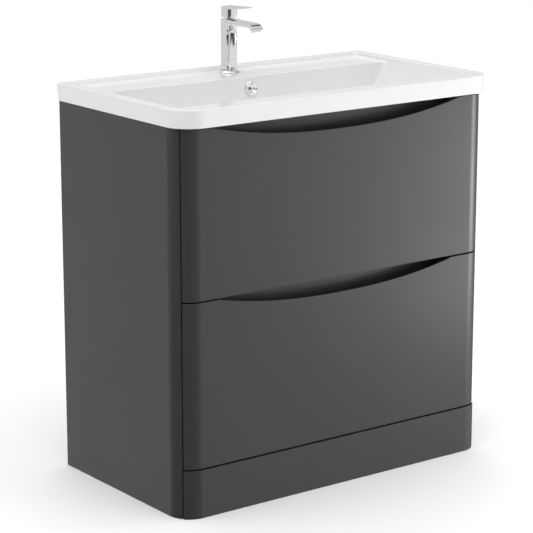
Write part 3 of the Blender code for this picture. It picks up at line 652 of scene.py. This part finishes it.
# ---------------------------------------------------------------- waste and trap
def make_waste():
    place = (0, WASTE_Y, 0)
    floor = BOWL_FLOOR
    body = [(WASTE_BORE_R, WASTE_FOOT), (WASTE_R, WASTE_FOOT), (WASTE_R, floor + 0.0003),
            (0.0310, floor + 0.0003), (0.0325, floor + 0.0018), (0.0300, floor + 0.0040),
            (WASTE_BORE_R, floor + 0.0040)]
    stand_in("waste_body", turned(smooth_profile(body, 0.0006), place))
    low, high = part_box("waste_washer")
    washer = rectangle(NUT_BORE_R, low.z, high.x, high.z)
    stand_in("waste_washer", turned(smooth_profile(washer, 0.0009), place))
    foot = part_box("waste_plug")[0].z
    plug = [(0.0, foot), (0.0045, foot), (0.0045, floor - 0.0100), (0.0135, floor - 0.0085),
            (0.0135, floor + 0.0045), (0.0290, floor + 0.0045), (0.0300, floor + 0.0060),
            (0.0285, floor + 0.0078), (0.0170, floor + 0.0094), (0.0, floor + 0.0100)]
    stand_in("waste_plug", turned(smooth_profile(plug, 0.0012, 4), place, segments=96))
    make_grip_nut("waste_nut", 6)
    make_grip_nut("trap_inlet_nut", 12, foot_r=0.0165)


def make_grip_nut(node, ribs, foot_r=None):
    """Round nut with grip ribs. With foot_r its bore narrows to that radius under the waste's tail."""
    low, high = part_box(node)
    outer = (high.x - low.x) / 2
    if foot_r:
        step = WASTE_FOOT - 0.0005
        rim = [(NUT_BORE_R, step), (NUT_BORE_R, high.z), (outer, high.z), (outer, low.z), (foot_r, low.z),
               (foot_r, step)]
    else:
        rim = rectangle(NUT_BORE_R, low.z, outer, high.z)
    profile = smooth_profile(rim, 0.0008)
    segments = ribs * 8
    rings = []
    for i in range(segments):
        angle = 2 * pi * i / segments
        dent = 0.0012 * (0.5 - 0.5 * cos(angle * ribs)) ** 2
        points = [(r - dent if r > outer - 0.002 else r, h) for r, h in profile]
        rings.append([Vector((r * cos(angle), WASTE_Y + r * sin(angle), h)) for r, h in points])
    stand_in(node, skin(rings, closed=True))


def make_trap():
    z = TRAP_Z
    place = (0, WASTE_Y, 0)
    body = [(0.0135, TRAP_NECK_TOP), (0.0161, TRAP_NECK_TOP), (0.0161, z + 0.034), (0.0300, z + 0.026),
            (0.0300, z - 0.024), (0.0255, z - 0.024), (0.0255, z + 0.020), (0.0135, z + 0.026)]
    trap = stand_in("trap_body", turned(smooth_profile(body, 0.0012), place))
    cut(trap, rod(0.0190, (0, WASTE_Y + 0.027, z), 0.018, "y"), "UNION")
    cut(trap, rod(0.0140, (0, WASTE_Y + 0.020, z), 0.030, "y"))
    low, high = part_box("trap_cup")
    cup = [(0.0, low.z), (0.0240, low.z), (0.0290, low.z + 0.007), (0.0290, high.z - 0.014),
           (0.0330, high.z - 0.012), (0.0330, high.z), (0.0262, high.z), (0.0262, low.z + 0.009),
           (0.0230, low.z + 0.004), (0.0, low.z + 0.004)]
    stand_in("trap_cup", turned(smooth_profile(cup, 0.0012), place))
    low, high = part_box("trap_outlet_pipe")
    pipe = rectangle(0.0135, low.y, high.x, high.y)
    stand_in("trap_outlet_pipe", turned(smooth_profile(pipe, 0.0004), (0, 0, z), "y"))
    low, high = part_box("trap_outlet_nut")
    outer, step = high.x, low.y + 0.012
    nut = [(0.0193, low.y), (outer, low.y), (outer, high.y), (0.0163, high.y), (0.0163, step),
           (0.0193, step)]
    stand_in("trap_outlet_nut", turned(smooth_profile(nut, 0.0010), (0, 0, z), "y"))


# ---------------------------------------------------------------- tap
def spout_outline():
    """Side view (y, z) of the strap: up the back of the column, over the top and down the curled tip."""
    base = BODY_LOW.z
    top = BODY_HIGH.z
    back, front = TAP_Y + TAP_HALF_D, TAP_Y - STRAP_FRONT
    tip = TAP_Y - SPOUT_REACH
    tip_z = base + SPOUT_DROP
    outline = [(back, base)] + arc((back - 0.0012, top - 0.0012), 0.0012, 0, 0.5 * pi, 4)
    outline += arc((tip + 0.019, top - 0.0215), 0.0190, 0.5 * pi, radians(158), 20)
    outline += [(tip, tip_z), (tip + 0.0080, tip_z - 0.0012)]
    outline += arc((tip + 0.0215, top - 0.0245), 0.0145, radians(160), 0.5 * pi, 18)
    outline += arc((front - ARCH_R, top - 0.034), ARCH_R, 0.5 * pi, 0, 24)
    outline += [(front, base + 0.014), (front - 0.0008, base + 0.004), (front - 0.0020, base)]
    return outline


def make_tap_body():
    stand_in("tap_body", prism(spout_outline(), "x", -TAP_HALF_W, TAP_HALF_W), bevel=0.0007, sharp=30.0,
             segments=4)
    pillar_y = TAP_Y - STRAP_FRONT - 0.0038
    foot = BODY_LOW.z
    dome_r = 0.0070
    profile = [(0.0, foot), (PILLAR_R + 0.0012, foot), (PILLAR_R + 0.0003, foot + 0.004),
               (PILLAR_R, foot + 0.010)]
    profile += arc((PILLAR_R - dome_r, PILLAR_TOP - dome_r), dome_r, 0, 0.5 * pi, 10)
    profile += [(0.0, PILLAR_TOP + 0.0004)]
    piece("tap_pillar", turned(profile, (0, pillar_y, 0), segments=96), "root", "chrome")


def make_tap_parts():
    place = (0, TAP_Y, 0)
    low, high = RING_LOW.z, RING_HIGH.z
    base = [(0.0080, low), (0.0238, low), (0.0238, low + 0.0010), (0.0228, low + 0.0015),
            (0.0202, low + 0.0020), (0.0186, low + 0.0032), (0.0180, high), (0.0080, high)]
    stand_in("tap_base_ring", turned(smooth_profile(base, 0.0005, 4), place, segments=128), sharp=50.0)
    refine("tap_aerator", 0.0005)
    refine("tap_stem", 0.0004)
    cartridge = [(0.0, CARTRIDGE_LOW), (CARTRIDGE_R, CARTRIDGE_LOW), (CARTRIDGE_R, CARTRIDGE_TOP - 0.0015),
                 (0.0060, CARTRIDGE_TOP), (0.0, CARTRIDGE_TOP)]
    stand_in("tap_cartridge", turned(smooth_profile(cartridge, 0.0005), place))
    low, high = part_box("tap_shank")
    bore, root = 0.0050, THREAD_R - 0.0009
    thread = [(bore, low.z)]
    for i in range(int((high.z - low.z) / THREAD_PITCH)):
        thread += [(root, low.z + i * THREAD_PITCH), (THREAD_R, low.z + (i + 0.5) * THREAD_PITCH)]
    thread += [(root, high.z), (bore, high.z)]
    stand_in("tap_shank", turned(thread, place), sharp=60.0)
    for node, rounding in (("tap_washer", 0.0009), ("tap_mounting_nut", 0.0006)):
        low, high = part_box(node)
        profile = rectangle(THREAD_R + 0.0003, low.z, high.x, high.z)
        stand_in(node, turned(smooth_profile(profile, rounding), place))


def cap_ring(inset, radius, z):
    """Plan of the handle's cap: front corners rounded wide, back corners tight."""
    across, along = TAP_HALF_W - inset, TAP_HALF_D - inset
    points = arc((-across + radius, TAP_Y - along + radius), radius, pi, 1.5 * pi, 16)
    points += arc((across - radius, TAP_Y - along + radius), radius, 1.5 * pi, 2 * pi, 16)
    points += arc((across - 0.002, TAP_Y + along - 0.002), 0.002, 0, 0.5 * pi, 6)
    points += arc((-across + 0.002, TAP_Y + along - 0.002), 0.002, 0.5 * pi, pi, 6)
    return [(x, y, z) for x, y in points]


def make_tap_handle():
    low, high = CAP_LOW.z, CAP_HIGH.z
    levels = [(low, 0.0008), (low + 0.0003, 0.0003), (low + 0.0009, 0.0), (high - 0.0003, 0.0),
              (high, 0.0003)]
    rings = [cap_ring(inset, 0.0075 - inset, z) for z, inset in levels]
    cap = stand_in("tap_cap", skin(rings), sharp=40.0)
    pocket = [cap_ring(0.0028, 0.0045, z) for z in (low - 0.01, high - 0.0025)]
    cut(cap, skin(pocket))
    heel_y = TAP_Y + TAP_HALF_D
    heel = [(heel_y + 0.001, low - 0.001), (heel_y + 0.001, low + 0.0040), (heel_y - 0.0040, low - 0.001)]
    cut(cap, prism(heel, "x", -0.02, 0.02))
    base = LEVER_LOW.z
    rise = LEVER_HIGH.z - base - 0.0034
    front, back = LEVER_LOW.y, TAP_Y + TAP_HALF_D - 0.0005
    length = back - front
    shape = [(back, base), (back, base + 0.0044), (back - length * 0.5, base + 0.0042 + rise * 0.4),
             (front, base + 0.0034 + rise), (front, base + 0.0012 + rise),
             (back - length * 0.5, base + rise * 0.22), (TAP_Y - TAP_HALF_D, base)]
    path = rounded_loop([Vector((0, y, z)) for y, z in shape],
                        [0.001, 0.0012, 0.05, 0.0009, 0.0009, 0.05, 0.004], [3, 4, 8, 4, 4, 8, 4])
    stand_in("tap_lever", prism([(p.y, p.z) for p in path], "x", LEVER_LOW.x, LEVER_HIGH.x), bevel=0.0006,
             sharp=30.0)


# ---------------------------------------------------------------- drawers and runners
def make_drawer_metal():
    for label in ("upper", "lower"):
        for side in SIDES:
            refine(f"{label}_drawer_side_{side}", 0.0012)
            refine(f"{label}_front_bracket_{side}", 0.0004)
            refine(f"{label}_runner_fixed_{side}", 0.0003)
            refine(f"{label}_runner_middle_{side}", 0.0003)
            refine(f"{label}_runner_moving_{side}", 0.0008)


# ---------------------------------------------------------------- fittings
def joined(parts):
    """One mesh from several."""
    whole = bmesh.new()
    for bm in parts:
        mesh = bpy.data.meshes.new("part")
        bm.to_mesh(mesh)
        bm.free()
        whole.from_mesh(mesh)
        bpy.data.meshes.remove(mesh)
    return whole


def heads(name, body, slot, places, radius, height, axis="y", way=1, recess=True):
    """Screw heads, caps or buffers in one piece: low domes that stand up along an axis, forwards (1) or
    backwards (-1). On x they point to the cabinet's middle."""
    profile = [(0.0, 0.0), (radius, 0.0), (radius, height * 0.55), (radius * 0.78, height)]
    if recess:
        profile += [(radius * 0.3, height), (radius * 0.3, height * 0.4), (0.0, height * 0.4)]
    else:
        profile += [(0.0, height)]
    profile = smooth_profile(profile, radius * 0.1)
    domes = []
    for place in places:
        if axis == "x":
            way = -1 if place[0] > 0 else 1
        domes.append(turned([(r, way * h) for r, h in profile], place, axis, 24))
    piece(name, joined(domes), body, slot)


def make_drawer_fittings():
    for label in ("upper", "lower"):
        body = f"{label}_drawer"
        low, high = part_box(f"{label}_front_bracket_right")
        rows = spaced(low.z + 0.012, high.z - 0.012, 2)
        heads(f"{label}_front_screws", body, "steel",
              [(sign * (low.x + 0.009), low.y + BRACKET_SHEET, z) for sign in SIDES.values() for z in rows],
              0.0042, 0.0022)
        heads(f"{label}_side_screws", body, "steel",
              [(sign * (high.x - BRACKET_SHEET), high.y - 0.010, z) for sign in SIDES.values()
               for z in rows[::2]], 0.0038, 0.0020, "x")
        heads(f"{label}_cover_caps", body, "white_plastic",
              [(sign * (high.x + 0.0002), high.y + 0.024, low.z + 0.024) for sign in SIDES.values()],
              0.0090, 0.0014, "x", recess=False)
        low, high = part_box("lower_drawer_back" if label == "lower" else "upper_drawer_back_right")
        heads(f"{label}_back_screws", body, "steel",
              [(sign * (high.x - 0.012), low.y, z) for sign in SIDES.values()
               for z in (low.z + 0.030, high.z - 0.015)], 0.0038, 0.0018, way=-1)


def make_ball_cages():
    """Cage strips with their balls between the runners' fixed and middle members, and the end guides."""
    for label in ("upper", "lower"):
        strips, guides = [], []
        for side, sign in SIDES.items():
            low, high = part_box(f"{label}_runner_fixed_{side}")
            outer = max(abs(low.x), abs(high.x)) - RUNNER_SHEET
            inner = max(abs(corner.x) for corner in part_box(f"{label}_runner_middle_{side}"))
            z = (low.z + high.z) / 2
            near, far = sorted((sign * (inner + 0.0029), sign * (inner + 0.0039)))
            start, end = low.y + 0.016, low.y + 0.170
            strips.append(prism(rectangle(near, z - CAGE_HALF, far, z + CAGE_HALF), "y", start, end))
            balls = bmesh.new()
            for y in spaced(start + 0.006, end - 0.006, 11):
                for level in (z - CAGE_HALF + 0.001, z + CAGE_HALF - 0.001):
                    place = Matrix.Translation((sign * (inner + 0.0034), y, level))
                    bmesh.ops.create_uvsphere(balls, u_segments=12, v_segments=8, radius=BALL_R,
                                              matrix=place)
            strips.append(balls)
            near, far = sorted((sign * (inner + 0.0005), sign * (outer - 0.0003)))
            guides.append(prism(rectangle(near, z - CAGE_HALF, far, z + CAGE_HALF), "y",
                                low.y + 0.001, low.y + 0.011))
        piece(f"{label}_ball_cages", joined(strips), "root", "steel", sharp=50.0)
        piece(f"{label}_runner_guides", joined(guides), "root", "white_plastic", bevel=0.0006, segments=2)


def corner_angle(sign, x, y, low, high):
    """Small steel angle in the corner between a rail's back face and a side panel's inner face."""
    sheet, leg, long_leg = 0.0015, 0.022, 0.030
    plan = [(x, y), (x, y + leg), (x - sheet, y + leg), (x - sheet, y + sheet), (x - long_leg, y + sheet),
            (x - long_leg, y)]
    return prism([(sign * a, b) for a, b in plan], "z", low, high)


def make_rail_brackets(inner):
    angles, screws = [], []
    for node in ("front_rail_top", "front_rail_middle"):
        low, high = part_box(node)
        middle = (low.z + high.z) / 2
        for sign in SIDES.values():
            angles.append(corner_angle(sign, inner, high.y + 0.0002, middle - 0.014, middle + 0.014))
            screws += [(sign * (inner - 0.018), high.y + 0.0017, middle + z) for z in (-0.007, 0.007)]
    piece("rail_brackets", joined(angles), "root", "steel", bevel=0.0003, segments=2)
    heads("rail_screws", "root", "steel", screws, 0.0034, 0.0018)


def make_wall_brackets():
    """Steel plates on the top back rail, where the cabinet is screwed to the wall."""
    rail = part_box("back_rail_top")[0]
    face, z = rail.y - 0.0022, rail.z + 0.045
    plates, screws = [], []
    for sign in SIDES.values():
        x = sign * 0.300
        outline = rectangle(x - 0.022, z - 0.025, x + 0.022, z + 0.025)
        plates.append(prism(outline, "y", face, rail.y - 0.0002))
        screws += [(x + dx, face, z + dz) for dx in (-0.013, 0.013) for dz in (-0.016, 0.016)]
    piece("wall_brackets", joined(plates), "root", "steel", bevel=0.0005, segments=2)
    heads("wall_screws", "root", "steel", screws, 0.0046, 0.0026, way=-1)


def make_cam_caps(inner):
    low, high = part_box("bottom_panel")
    places = [(x, y, high.z) for x in (-inner + 0.030, inner - 0.030)
              for y in (low.y + 0.050, high.y - 0.060)]
    heads("cam_caps", "root", "white_plastic", places, 0.0075, 0.0012, "z")


def make_plinth_clips():
    """H-shaped clips between the plinth's front and the rail behind it."""
    near, far = PLINTH_Y + BOARD + 0.0002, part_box("plinth_rail")[0].y - 0.0002
    foot, waist_low, waist_high, head = 0.028, 0.043, 0.049, 0.064
    flange = 0.0032
    section = [(near, foot), (near + flange, foot), (near + flange, waist_low), (far - flange, waist_low),
               (far - flange, foot), (far, foot), (far, head), (far - flange, head),
               (far - flange, waist_high), (near + flange, waist_high), (near + flange, head), (near, head)]
    clips = [prism(section, "x", x - 0.011, x + 0.011) for x in (-0.30, -0.10, 0.10, 0.30)]
    piece("plinth_clips", joined(clips), "root", "white_plastic", bevel=0.0006, segments=2)


def make_drawer_buffers():
    """Rubber buffers between the front rails and the backs of the closed drawer fronts."""
    rail_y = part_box("front_rail_top")[0].y
    length = rail_y - (FRONT_Y + FRONT_T + 0.0004)
    places = [(x, rail_y, z) for z in (0.750, 0.400) for x in (-0.335, 0.335)]
    heads("drawer_buffers", "root", "rubber", places, 0.0050, length, way=-1, recess=False)


def make_back_nails():
    low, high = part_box("back_panel")
    edge = 0.007
    nails = [(x, high.y, z) for x in (low.x + edge, high.x - edge)
             for z in spaced(low.z + 0.03, high.z - 0.03, 6)]
    nails += [(x, high.y, low.z + edge) for x in spaced(low.x + 0.08, high.x - 0.08, 6)]
    heads("back_nails", "root", "steel", nails, 0.0026, 0.0005, recess=False)


def make_carcass_fittings():
    inner = CAB_HALF_W - BOARD - 0.0002
    make_rail_brackets(inner)
    make_wall_brackets()
    make_cam_caps(inner)
    make_plinth_clips()
    make_drawer_buffers()
    make_back_nails()


# ---------------------------------------------------------------- stage
def make_floor():
    bm = bmesh.new()
    bmesh.ops.create_grid(bm, x_segments=8, y_segments=8, size=40.0)
    bmesh.ops.translate(bm, verts=bm.verts, vec=(0, 0, -0.0002))
    mesh = bpy.data.meshes.new("floor")
    bm.to_mesh(mesh)
    bm.free()
    mesh.materials.append(MATERIALS["floor"])
    floor = bpy.data.objects.new("floor", mesh)
    bpy.context.scene.collection.objects.link(floor)
    floor.visible_glossy = False


def area_light(name, place, target, size, power):
    data = bpy.data.lights.new(name, "AREA")
    data.shape = "RECTANGLE"
    data.size, data.size_y = size
    data.energy = power
    light = bpy.data.objects.new(name, data)
    light.location = place
    light.rotation_mode = "QUATERNION"
    light.rotation_quaternion = (Vector(target) - Vector(place)).to_track_quat("-Z", "Y")
    light.visible_camera = False
    bpy.context.scene.collection.objects.link(light)


def make_world():
    """Surroundings of the studio: their brightness by direction, darkest round the viewer."""
    world = bpy.data.worlds.new("studio")
    bpy.context.scene.world = world
    world.use_nodes = True
    world.cycles.sampling_method = "NONE"
    tree = world.node_tree

    def calculate(operation, first, second=None):
        node = tree.nodes.new("ShaderNodeMath")
        node.operation = operation
        for socket, value in zip(node.inputs, (first, second)):
            if isinstance(value, bpy.types.NodeSocket):
                tree.links.new(value, socket)
            elif value is not None:
                socket.default_value = value
        return node.outputs["Value"]

    def blend(height, start, end, below, above):
        """below under one height of the direction, above over another, mixed in between."""
        ease = tree.nodes.new("ShaderNodeMapRange")
        ease.inputs["From Min"].default_value = start
        ease.inputs["From Max"].default_value = end
        tree.links.new(height, ease.inputs["Value"])
        mix = tree.nodes.new("ShaderNodeMix")
        tree.links.new(ease.outputs["Result"], mix.inputs["Factor"])
        for name, value in (("A", below), ("B", above)):
            if isinstance(value, bpy.types.NodeSocket):
                tree.links.new(value, mix.inputs[name])
            else:
                mix.inputs[name].default_value = value
        return mix.outputs["Result"]

    def wall(turn, stops):
        """Brightness round the horizon, from stops as they are given for the studio."""
        ramp = tree.nodes.new("ShaderNodeValToRGB")
        elements = ramp.color_ramp.elements
        elements[1].position = 1.0
        for angle, brightness in stops:
            position = angle / 360 + 0.5
            at_end = {0.0: elements[0], 1.0: elements[-1]}
            element = at_end.get(position) or elements.new(position)
            element.color = (*[brightness / WALL_MAX] * 3, 1.0)
        tree.links.new(turn, ramp.inputs["Fac"])
        return calculate("MULTIPLY", ramp.outputs["Color"], WALL_MAX)

    direction = tree.nodes.new("ShaderNodeTexCoord").outputs["Generated"]
    split = tree.nodes.new("ShaderNodeSeparateXYZ")
    tree.links.new(direction, split.inputs["Vector"])
    across, along, height = split.outputs
    angle = calculate("ARCTAN2", across, calculate("MULTIPLY", along, -1.0))
    turn = calculate("ADD", calculate("DIVIDE", angle, 2 * pi), 0.5)
    light = blend(height, -0.77, -0.57, GROUND, wall(turn, LOW_WALL))
    light = blend(height, -0.07, 0.07, light, wall(turn, HIGH_WALL))
    light = blend(height, 0.52, 0.62, light, wall(turn, SHOULDER))
    light = blend(height, 0.81, 0.87, light, CEILING)
    tree.nodes["Background"].inputs["Color"].default_value = (1.0, 1.0, 1.0, 1.0)
    tree.links.new(light, tree.nodes["Background"].inputs["Strength"])


def make_lights():
    area_light("right_box", (1.72, -1.00, 0.33), (0, -0.2, 0.33), (0.55, 0.62), 13.0)
    area_light("low_box", (1.05, -0.95, 0.11), (0.25, -0.2, 0.15), (0.40, 0.18), 0.8)
    area_light("left_box", (-2.8, 0.6, 1.2), (-0.4, 0, 0.5), (1.6, 1.8), 7.0)
    area_light("top_box", (0.6, -0.6, 3.0), (0, 0, 0.8), (2.4, 2.4), 11.0)


def make_camera():
    data = bpy.data.cameras.new("camera")
    data.lens = CAMERA_LENS
    data.sensor_width = CAMERA_SENSOR
    camera = bpy.data.objects.new("camera", data)
    level = cos(CAMERA_DOWN)
    gaze = Vector((sin(CAMERA_AZIMUTH) * level, cos(CAMERA_AZIMUTH) * level, -sin(CAMERA_DOWN)))
    camera.location = CAMERA_PLACE
    camera.rotation_mode = "QUATERNION"
    camera.rotation_quaternion = gaze.to_track_quat("-Z", "Y")
    bpy.context.scene.collection.objects.link(camera)
    bpy.context.scene.camera = camera


make_camera()
make_side_panels()
make_plinth()
make_fronts()
make_boards()
make_basin()
make_overflow_ring()
make_waste()
make_trap()
make_tap_body()
make_tap_parts()
make_tap_handle()
make_drawer_metal()
make_drawer_fittings()
make_ball_cages()
make_carcass_fittings()
make_floor()
make_world()
make_lights()
bpy.context.scene.view_settings.view_transform = "Standard"
